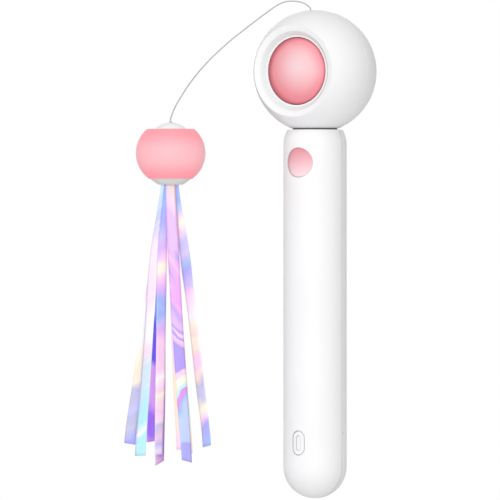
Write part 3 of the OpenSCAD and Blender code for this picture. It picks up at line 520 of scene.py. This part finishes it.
# Painted shade at the rim of the dish.
button_rim_shade = button_pink.spread(button_pink.off_axis(BUTTON_HEIGHT), 0, RIM_SHADE_SHARE, RIM_SHADE_FROM, RIM_SHADE_TO)
button_pink.paint(button_pink.mix(button_rim_shade, button_pink.painted(), linear(196, 178, 182)))

BALL_PAINTED_GLOW = 0.34
BALL_SHEEN_DROP = 0.5 * MM
BALL_SHEEN_BAND = (2 * MM, 10.6 * MM)
ball_low, ball_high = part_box("toy_ball")
ball_height = (ball_low[2] + ball_high[2]) / 2
# A painted pale band of sheen round the middle, and a painted glow in the ball's own pink.
ball_pink = satin_pink("ball_pink", (236, 143, 153), (228, 166, 172),
                       near_height(ball_height - BALL_SHEEN_DROP, *BALL_SHEEN_BAND), 0.5, 0.2)
ball_pink.join(ball_pink.painted(), ball_pink.surface.inputs["Emission Color"])
ball_pink.fix(Emission_Strength=BALL_PAINTED_GLOW)
print("pinks ready: dome, button at %.1f mm, ball at %.1f mm" % (BUTTON_HEIGHT / MM,
                                                               ball_height / MM))

# %% [markdown]
# The circuit board is woven glass fibre under a green mask, with small copper pads. Its tracks
# could be drawn as geometry, but it is shut in the handle, so a checker gives the weave and the
# cells of a Voronoi pattern give the pads.

# %% Board material
WEAVE_SCALE = 1800
PAD_SCALE = 420
PAD_EDGE = (0.12, 0.16)
board_green = Tree("board_green")
weave = board_green.add("ShaderNodeTexChecker", Scale=WEAVE_SCALE,
                        Color1=linear(28, 104, 62), Color2=linear(24, 92, 54))
board_green.join(board_green.place(), weave.inputs["Vector"])
pads = board_green.add("ShaderNodeTexVoronoi", Scale=PAD_SCALE)
board_green.join(board_green.place(), pads.inputs["Vector"])
pad_share = board_green.spread(pads.outputs["Distance"], 1, 0, *PAD_EDGE)
board_green.paint(board_green.mix(pad_share, weave.outputs["Color"], linear(206, 172, 98)))
board_green.roughen(board_green.noise(300), 0.3, 0.42)
board_green.bump(pad_share, 0.03 * MM)
print("board ready")

# %% [markdown]
# ## From materials to parts
# Pieces of one kind share one material, as pieces from one supplier would. The list could hang
# on each piece's slot in the record, but one table by material is easier to read and to change.

# %% Every solid part gets its material
NODE_MATERIALS = {
    shell_white: ["head_back_shell"],
    handle_front_white: ["handle_front_shell"],
    handle_back_white: ["handle_back_shell"],
    cover_white: ["port_cover"],
    face_white: ["head_front_shell"],
    trim_white: ["screw_plugs", "line_eyelet"],
    cap_white: ["toy_top_cap"],
    cap_painted_shade: ["toy_bottom_cap"],
    collar_grey: ["neck_collar"],
    dome_pink: ["dome_cover"],
    button_pink: ["power_button"],
    ball_pink: ["toy_ball"],
    board_green: ["control_board"],
    chip_black: ["board_chips", "socket_tongue", "motor_endcap", "switch_plunger"],
    cell_wrap: ["battery_cell"],
    foam: ["battery_pad"],
    wire_red: ["motor_leads"],
    nylon: ["frame_front_plate", "frame_back_plate", "reel_spool", "spool_gear",
            "reduction_gear", "toy_spindle", "ribbon_clamp"],
    line_grey: ["line_feed", "line_winding", "hang_bead"],
    steel: ["handle_screws", "frame_screws", "frame_posts", "reel_axle", "idler_axle",
            "reel_motor", "motor_shaft", "battery_tabs", "charging_socket",
            "hang_cup", "button_switch"],
    brass: ["spool_bush", "motor_pinion"],
}
for tree, names in NODE_MATERIALS.items():
    for name in names:
        data = nodes[name].data
        data.materials.clear()
        data.materials.append(tree.material)
line.data.materials.append(line_grey.material)
print("materials on", sum(len(names) for names in NODE_MATERIALS.values()), "solid parts")

# %% [markdown]
# ## Film tassel
# Nine strips of iridescent film hang from the opening under the ball. Cloth simulation could drop
# them, but it wouldn't put each strip where the real one hangs. So each is told, from the
# photograph's left to its right, as the solids are: its length, its depth, how narrow it is
# gathered at the top and where it has opened to its full width, then where it hangs sideways and
# how far it is turned at each quarter of its length, and how slanted its end is cut.

# %% Film shapes
TOY_REACH = LINE_ROUTE[-1][0] * MM
TOY_AXIS = EYELET - Vector((math.cos(LINE_HEADING), math.sin(LINE_HEADING), 0)) * TOY_REACH
FILM_TOP = 57.2 * MM
FILM_WIDTH = 5 * MM
FILM_LENGTH = 128 * MM
FILM_SPREAD = 18.5 * MM
FILM_DEPTH = 11 * MM
DEPTH_POWER = 1.3
FILM_PITCH = 0.5 * MM
FILM_THICKNESS = 0.12 * MM
FILM_TROUGH = 0.18 * MM
TROUGH_MEAN = 0.33
TROUGH_FROM = 0.25
FILM_RINGS = 72
FILM_COLUMNS = 6
FILM_CUTS = [
    (0.933, 0.75, 0.4, 0.5), (0.972, -0.75, 0.3, 0.5), (0.925, 0.5, 0.4, 0.5),
    (0.968, -0.5, 0.42, 0.3), (1, 0.25, 0.4, 0.3), (0.952, -0.25, 0.5, 0.5),
    (0.991, -1, 0.8, 0.25), (0.962, 0, 0.5, 0.25), (0.942, 1, 0.32, 0.35),
]
FILM_SIDES = [
    (-0.07, -0.319, -0.546, -0.778, -1),
    (-0.184, -0.389, -0.508, -0.627, -0.735),
    (-0.086, -0.2, -0.281, -0.389, -0.486),
    (-0.135, -0.216, -0.227, -0.249, -0.286),
    (-0.07, -0.227, -0.238, -0.232, -0.265),
    (0, 0.065, 0.13, 0.195, 0.276),
    (-0.016, 0.059, 0.162, 0.276, 0.4),
    (0.054, 0.076, 0.157, 0.276, 0.405),
    (0.141, 0.319, 0.508, 0.692, 0.876),
]
FILM_TURNS = [
    (0, 15, 18, 10, 0), (0, -8, -37, -37, -20), (0, 8, 36, 44, 44),
    (0, 10, 32, 34, 47), (0, 4, 30, 40, 40), (0, -5, -8, -10, -12),
    (0, 0, 10, 12, 26), (0, 5, 8, 10, 14), (0, -14, -42, -41, -43),
]
FILM_SLANTS = [-0.17, 0.04, 0.1, 0.05, 0.45, -0.05, -0.25, -0.1, 0.22]
SLANT_START = 0.94
print("strips: %d, %.1f to %.1f mm long" % (len(FILM_CUTS),
                                           FILM_LENGTH * min(FILM_CUTS)[0] / MM,
                                           FILM_LENGTH * max(FILM_CUTS)[0] / MM))

# %% [markdown]
# Each strip is a grid of points. Smooth curves through its five stations say where it is and how
# it is turned, it bends to a slight trough across, and the grid is closed to a thin sheet with
# edges. A single flat layer with a solidify modifier could do the same, but a mesh that is closed
# from the start needs nothing applied when it leaves Blender. Its map runs across and down the
# strip, so that bands of colour can follow it.


# %% Film mesh
def along(values, t):
    """Value of a smooth curve through evenly spaced stations, at a share t of its length."""
    last = len(values) - 1
    k = min(int(t * last), last - 1)
    return between(values[max(k - 1, 0)], values[k], values[k + 1], values[min(k + 2, last)],
                   t * last - k)


def strip_place(i, t, across):
    """Place of a point of strip i: t runs down from 0 to 1, across from -0.5 to 0.5."""
    length, depth, gathered, open_from = FILM_CUTS[i]
    turn = math.radians(along(FILM_TURNS[i], t))
    layer = FILM_PITCH * depth * (len(FILM_CUTS) - 1) / 2
    side = FILM_SPREAD * along(FILM_SIDES[i], t)
    front = layer + (FILM_DEPTH * depth - layer) * t ** DEPTH_POWER
    opened = min(1, t / open_from)
    reach = FILM_WIDTH * across * (gathered + (1 - gathered) * opened * opened * (3 - 2 * opened))
    trough = FILM_TROUGH * (4 * across * across - TROUGH_MEAN) * min(1, t / TROUGH_FROM)
    drop = t * FILM_LENGTH * length
    drop -= reach * FILM_SLANTS[i] * max(0, (t - SLANT_START) / (1 - SLANT_START))
    local = Vector((side + reach * math.cos(turn) - trough * math.sin(turn),
                    front + reach * math.sin(turn) + trough * math.cos(turn), 0))
    return Vector((TOY_AXIS.x + local.x * math.cos(VIEW_TURN) - local.y * math.sin(VIEW_TURN),
                   TOY_AXIS.y + local.x * math.sin(VIEW_TURN) + local.y * math.cos(VIEW_TURN),
                   FILM_TOP - drop))


def strip_grid(i):
    """Rows of points down the strip."""
    return [[strip_place(i, k / (FILM_RINGS - 1), c / (FILM_COLUMNS - 1) - 0.5)
             for c in range(FILM_COLUMNS)] for k in range(FILM_RINGS)]


def build_tassel():
    """One mesh with all strips: each a thin closed sheet with its own material and film map."""
    mesh = bpy.data.meshes.new("film_tassel")
    places, faces, owners, maps = [], [], [], []
    for i in range(len(FILM_CUTS)):
        grid = strip_grid(i)
        start = len(places)
        for layer in (-0.5, 0.5):
            for k, row in enumerate(grid):
                down = grid[min(k + 1, FILM_RINGS - 1)][0] - grid[max(k - 1, 0)][0]
                for c, place in enumerate(row):
                    over = row[min(c + 1, FILM_COLUMNS - 1)] - row[max(c - 1, 0)]
                    normal = over.cross(down).normalized()
                    places.append(place + normal * layer * FILM_THICKNESS)
                    maps.append((c / (FILM_COLUMNS - 1), k / (FILM_RINGS - 1)))
        sheet = FILM_RINGS * FILM_COLUMNS

        def at(layer, k, c):
            return start + layer * sheet + k * FILM_COLUMNS + c

        for k in range(FILM_RINGS - 1):
            for c in range(FILM_COLUMNS - 1):
                faces.append((at(0, k, c), at(0, k, c + 1), at(0, k + 1, c + 1), at(0, k + 1, c)))
                faces.append((at(1, k, c), at(1, k + 1, c), at(1, k + 1, c + 1), at(1, k, c + 1)))
            for c, turn in ((0, 1), (FILM_COLUMNS - 1, -1)):
                edge = (at(0, k, c), at(0, k + 1, c), at(1, k + 1, c), at(1, k, c))
                faces.append(edge[::turn])
        for k, turn in ((0, -1), (FILM_RINGS - 1, 1)):
            for c in range(FILM_COLUMNS - 1):
                edge = (at(0, k, c), at(0, k, c + 1), at(1, k, c + 1), at(1, k, c))
                faces.append(edge[::turn])
        owners += [i] * (len(faces) - len(owners))
    mesh.from_pydata(places, [], faces)
    film_map = mesh.uv_layers.new(name="film_map")
    for polygon in mesh.polygons:
        polygon.use_smooth = True
        polygon.material_index = owners[polygon.index]
        for loop in polygon.loop_indices:
            film_map.data[loop].uv = maps[mesh.loops[loop].vertex_index]
    mesh.update()
    return mesh


tassel = bpy.data.objects.new("film_tassel", build_tassel())
scene.collection.objects.link(tassel)
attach(tassel, "toy")
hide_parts(*["ribbon_%d" % (i + 1) for i in range(len(FILM_CUTS))])
print("tassel:", len(tassel.data.polygons), "faces")

# %% [markdown]
# ## Film colours
# Iridescent film shows soft bands of a few colours that follow one another down a strip, crisp
# slanting bands where it bends sharply, and a few pale streaks. A thin-film shader alone gives
# only a faint tint under soft light, so each strip takes its own order of the same named colours
# from a ramp, and the thin film adds the gloss. The lists after that say how far the bands lean
# at four stations down the strip, how strong its painted glow is, how its streaks are turned, and
# how strong the pale streaks of painted glint and the deep streaks of painted shade are at its
# head and foot.

# %% Film palette and bands
FILM = {
    "blue": linear(166, 190, 250),
    "sky": linear(196, 212, 252),
    "periwinkle": linear(176, 174, 248),
    "lavender": linear(206, 198, 248),
    "haze": linear(204, 202, 232),
    "mist": linear(194, 192, 216),
    "lilac": linear(192, 170, 250),
    "iris": linear(184, 158, 244),
    "violet": linear(162, 120, 232),
    "indigo": linear(116, 102, 222),
    "orchid": linear(220, 174, 230),
    "mauve": linear(222, 184, 246),
    "mallow": linear(234, 190, 244),
    "heather": linear(240, 174, 244),
    "dusk": linear(198, 172, 196),
    "pink": linear(250, 212, 240),
    "rose": linear(234, 150, 224),
    "blush": linear(251, 229, 247),
    "peach": linear(252, 228, 216),
    "cream": linear(252, 246, 222),
    "straw": linear(248, 234, 206),
    "mint": linear(204, 242, 228),
    "ice": linear(212, 234, 252),
    "cyan": linear(184, 238, 252),
    "white": linear(252, 250, 254),
}
FILM_BANDS = [
    "0 lavender, 0.4 lavender, 0.44 blush, 0.47 white, 0.6 white, 0.66 cream, 0.73 straw, "
    "0.77 straw, 0.8 mist, 0.84 mist, 0.88 lavender, 0.905 mist, 0.96 mist, 1 periwinkle",
    "0 cyan, 0.05 ice, 0.11 sky, 0.16 lavender, 0.26 blush, 0.45 blush, 0.5 white, 0.59 white, "
    "0.63 blush, 0.7 ice, 0.76 ice, 0.84 cyan, 0.9 cyan, 0.93 white, 0.95 cyan, 1 cyan",
    "0 periwinkle, 0.49 periwinkle, 0.55 indigo, 0.68 indigo, 0.71 orchid, 0.84 orchid, "
    "0.89 violet, 0.96 violet, 1 orchid",
    "0 cyan, 0.03 blue, 0.1 blue, 0.15 periwinkle, 0.22 lavender, 0.265 mauve, 0.295 pink, "
    "0.315 cream, 0.335 cream, 0.355 pink, 0.41 mauve, 0.445 blue, 0.5 blue, 0.535 lavender, "
    "0.56 mauve, 0.6 pink, 0.7 pink, 0.735 white, 0.765 pink, 0.79 cream, 0.84 pink, "
    "0.89 blush, 0.91 haze, 0.94 pink, 0.97 lavender, 1 white",
    "0 lavender, 0.56 blue, 0.64 violet, 0.93 violet, 0.97 orchid, 1 pink",
    "0 peach, 0.6 blush, 0.72 straw, 0.84 straw, 0.93 peach, 1 pink",
    "0 peach, 0.06 pink, 0.1 mallow, 0.22 mallow, 0.27 heather, 0.44 heather, 0.465 mauve, "
    "0.49 mallow, 0.505 mallow, 0.512 iris, 0.518 iris, 0.522 pink, 0.53 pink, "
    "0.535 iris, 0.542 iris, 0.546 pink, 0.564 mallow, 0.57 iris, 0.677 iris, "
    "0.682 pink, 0.707 pink, 0.717 cream, 0.755 cream, 0.768 mint, 0.781 ice, "
    "0.787 periwinkle, 0.796 rose, 0.815 rose, 0.823 blue, 0.85 sky, 0.935 sky, "
    "0.94 periwinkle",
    "0 dusk, 0.22 dusk, 0.3 pink, 0.6 peach, 0.7 cream, 0.8 mint, 0.88 cream, 0.96 peach, "
    "1 pink",
    "0 lavender, 0.07 blue, 0.12 sky, 0.145 pink, 0.17 cream, 0.185 cream, 0.21 pink, "
    "0.23 lavender, 0.29 lavender, 0.33 blue, 0.36 periwinkle, 0.41 lavender, 0.44 pink, "
    "0.47 blush, 0.52 white, 0.55 cream, 0.585 peach, 0.61 cream, 0.65 peach, 0.68 pink, "
    "0.715 pink, 0.74 peach, 0.775 mist, 0.79 haze, 0.83 haze, 0.86 cream, "
    "0.88 cream, 0.91 pink, 0.93 periwinkle, 1 blue",
]
FILM_LEANS = [
    (0.02, 0.02, 0.02, 0.02), (0.02, 0.035, 0.035, 0.035), (-0.02, -0.02, -0.02, -0.02),
    (0.012, 0.014, 0.014, 0.014), (-0.03, -0.03, -0.03, -0.03), (0.02, 0.02, 0.02, 0.02),
    (-0.06, 0.012, 0.07, 0.006), (-0.02, -0.02, -0.02, -0.02), (0.014, 0.02, 0.02, 0.02),
]
LEAN_STEPS = [(0.5, 0.68), (0.68, 0.75), (0.81, 0.9)]
FILM_PAINTED_GLOW = [0.12, 0.04, 0.3, 0.04, 0.04, 0.16, 0.03, 0.24, 0.12]
STREAK_TURNS = [38, 34, 30, -28, 36, -32, -66, -30, 34]
STREAK_GLINT = [0.08, 0.3, 0, 0.06, 0, 0, 0.25, 0, 0.1]
STREAK_SHADE = [0.02, 0, 0.08, 0.03, 0, 0, 1, 0, 0.03]
STREAK_HEAD = [1, 1, 1, 1, 1, 1, 0.1, 1, 1]
STREAK_FOOT = [1, 1, 1, 1, 1, 1, 0.1, 1, 1]
STREAK_SCALE = (60, 300, 1)
HEAD_FADE = (0.18, 0.26)
FOOT_FADE = (0.45, 0.55)
GLINT_FROM_TO = (0.54, 0.68)
SHADE_FROM_TO = (0.32, 0.44)
DRIFT = 0.012
DRIFT_SCALE = 120
STRIP_OFFSET = 0.1
THIN_FILM_NANOMETRES = 420
THIN_FILM_IOR = 1.4
print("palette of", len(FILM), "colours for", len(FILM_BANDS), "strips")

# %% [markdown]
# In the material, the strip's map picks a colour from the ramp, after a lean and a slight drift
# that keep the bands from looking ruled. The streaks are a noise that is stretched along one
# direction: the pale ones are painted glints, mixed towards white, and the deep ones painted shade,
# mixed towards lilac. The strip also glows in its own colour, a painted light. A painted texture
# could hold every streak, but it would be a copy of one picture, while these bands stay sharp at
# any size.


# %% Film materials
def film_material(i):
    """Film for strip i: bands, streaks of painted glint and shade, a painted glow, thin-film gloss.
    """
    tree = Tree("film_%d" % (i + 1))
    across, down = tree.axis("X", "UV"), tree.axis("Y", "UV")
    flat = tree.mapped(tree.place("UV"), Location=(STRIP_OFFSET * i, 0, 0),
                       Scale=(FILM_WIDTH, FILM_LENGTH, 1))

    lean, *later = FILM_LEANS[i]
    for before, after, ends in zip(FILM_LEANS[i], later, LEAN_STEPS):
        lean = tree.maths("ADD", tree.spread(down, 0, after - before, *ends), lean)
    slanted = tree.maths("ADD", tree.maths("MULTIPLY", across, lean), down)
    drifted = tree.maths("ADD", slanted,
                         tree.spread(tree.noise(DRIFT_SCALE, 1, flat), -DRIFT, DRIFT))
    ramp = tree.add("ShaderNodeValToRGB")
    stops = [stop.split() for stop in FILM_BANDS[i].split(",")]
    points = ramp.color_ramp.elements
    while len(points) < len(stops):
        points.new(0.5)
    for point, (position, colour) in zip(points, stops):
        point.position = float(position)
        point.color = FILM[colour]
    tree.join(drifted, ramp.inputs["Fac"])

    turned = tree.mapped(flat, Rotation=(0, 0, math.radians(STREAK_TURNS[i])))
    streaks = tree.noise(1, 1, tree.mapped(turned, Scale=STREAK_SCALE))
    fade = tree.maths("MULTIPLY", tree.spread(down, STREAK_HEAD[i], 1, *HEAD_FADE),
                      tree.spread(down, 1, STREAK_FOOT[i], *FOOT_FADE))
    # Pale streaks are painted glints and deep streaks are painted shade.
    glint = tree.spread(streaks, 0, STREAK_GLINT[i], *GLINT_FROM_TO, "SMOOTHSTEP")
    deep = tree.spread(streaks, STREAK_SHADE[i], 0, *SHADE_FROM_TO, "SMOOTHSTEP")
    lit = tree.mix(tree.maths("MULTIPLY", fade, glint), ramp.outputs["Color"], FILM["white"])
    tree.paint(tree.mix(tree.maths("MULTIPLY", fade, deep), lit, FILM["lilac"]))
    # The strip's colour also glows, a painted light.
    tree.join(tree.painted(), tree.surface.inputs["Emission Color"])
    tree.roughen(streaks, 0.4, 0.5)
    tree.bump(streaks, 0.04 * MM)
    tree.fix(Emission_Strength=FILM_PAINTED_GLOW[i], Specular_IOR_Level=0.08,
             Thin_Film_Thickness=THIN_FILM_NANOMETRES, Thin_Film_IOR=THIN_FILM_IOR)
    return tree.material


for i in range(len(FILM_CUTS)):
    tassel.data.materials.append(film_material(i))
print("film materials:", len(tassel.data.materials))

# %% [markdown]
# ## Floor
# The wand is held up, so the pale floor lies below it, out of the photograph's frame. A large
# plane would show a grey horizon in views from above, so the floor is a disc that keeps the
# object's shade in its middle and fades to the white of the surroundings at its rim.

# %% Floor
FLOOR_HEIGHT = -200 * MM
FLOOR_RADIUS = 0.5
FLOOR_SIDES = 64
FADE_FROM = 0.22
FADE_TO = 0.5
FLOOR_CLOUD_SCALE = 6
floor_mesh = bpy.data.meshes.new("floor")
floor_rim = [math.tau * k / FLOOR_SIDES for k in range(FLOOR_SIDES)]
floor_mesh.from_pydata(
    [(FLOOR_RADIUS * math.cos(turn), FLOOR_RADIUS * math.sin(turn), FLOOR_HEIGHT)
     for turn in floor_rim], [], [list(range(FLOOR_SIDES))])
floor = bpy.data.objects.new("floor", floor_mesh)
scene.collection.objects.link(floor)
floor_look = Tree("floor")
floor_cloud = floor_look.spread(floor_look.noise(FLOOR_CLOUD_SCALE, 3), 0, 1)
floor_look.paint(floor_look.mix(floor_cloud, linear(243, 243, 243), linear(240, 240, 241)))
floor_look.fix(Roughness=0.8, Specular_IOR_Level=0.1)
fade = floor_look.spread(floor_look.distance(floor_look.place()), 0, 1, FADE_FROM, FADE_TO,
                         "SMOOTHSTEP")
fade = floor_look.maths("MULTIPLY", fade,
                        floor_look.add("ShaderNodeLightPath").outputs["Is Camera Ray"])
faded = floor_look.add("ShaderNodeMixShader")
floor_look.join(fade, faded.inputs["Fac"])
floor_look.join(floor_look.surface.outputs["BSDF"], faded.inputs[1])
floor_look.join(floor_look.add("ShaderNodeEmission").outputs["Emission"], faded.inputs[2])
floor_look.join(faded.outputs["Shader"], floor_look.output.inputs["Surface"])
floor_mesh.materials.append(floor_look.material)
print("floor: %.1f m across" % (2 * FLOOR_RADIUS))

# %% [markdown]
# ## Surroundings
# The background is white, yet white light from all sides would flatten the shells. Two
# backgrounds are mixed by the kind of ray: the camera, gloss and glass see plain white, and all
# other light gets the dimmer one. A brighter lamp on a backdrop would spill onto the object.

# %% World
AMBIENT = 0.55
world = bpy.data.worlds.new("studio")
scene.world = world
world.use_nodes = True
world_nodes, world_links = world.node_tree.nodes, world.node_tree.links
world_nodes.clear()
world_output = world_nodes.new("ShaderNodeOutputWorld")
chosen = world_nodes.new("ShaderNodeMixShader")
world_links.new(chosen.outputs["Shader"], world_output.inputs["Surface"])
for strength, socket in ((AMBIENT, chosen.inputs[1]), (1, chosen.inputs[2])):
    light = world_nodes.new("ShaderNodeBackground")
    light.inputs["Color"].default_value = (1, 1, 1, 1)
    light.inputs["Strength"].default_value = strength
    world_links.new(light.outputs["Background"], socket)
paths = world_nodes.new("ShaderNodeLightPath")
share = paths.outputs["Is Camera Ray"]
for name in ("Is Glossy Ray", "Is Transmission Ray"):
    either = world_nodes.new("ShaderNodeMath")
    either.operation = "MAXIMUM"
    world_links.new(share, either.inputs[0])
    world_links.new(paths.outputs[name], either.inputs[1])
    share = either.outputs["Value"]
world_links.new(share, chosen.inputs["Fac"])
print("world ready: ambient light %.2f of white" % AMBIENT)

# %% [markdown]
# ## Lamps
# A soft light near the camera gives the shells their bright middle, a second one from above the
# sheen on the dome, and a third behind keeps the back from going dull. Sun lamps would be
# simpler, but their shading is too hard for the round head, so all three are broad squares.


# %% Lamps
def softbox(name, turn, rise, distance, size, power):
    """Square lamp that faces the wand, in degrees from the front, metres and watts."""
    data = bpy.data.lights.new(name, "AREA")
    data.size = size
    data.energy = power
    lamp = bpy.data.objects.new(name, data)
    turn, rise = math.radians(turn), math.radians(rise)
    out = Vector((math.sin(turn) * math.cos(rise), -math.cos(turn) * math.cos(rise),
                  math.sin(rise)))
    lamp.location = aim + out * distance
    lamp.rotation_euler = out.to_track_quat("Z", "Y").to_euler()
    scene.collection.objects.link(lamp)
    print("lamp %s: %.1f W, %.1f m away" % (name, power, distance))


softbox("key", turn=28, rise=6, distance=1.3, size=0.5, power=7.1)
softbox("top", turn=20, rise=52, distance=1.1, size=0.4, power=2)
softbox("back", turn=214, rise=8, distance=1.4, size=0.6, power=3.4)
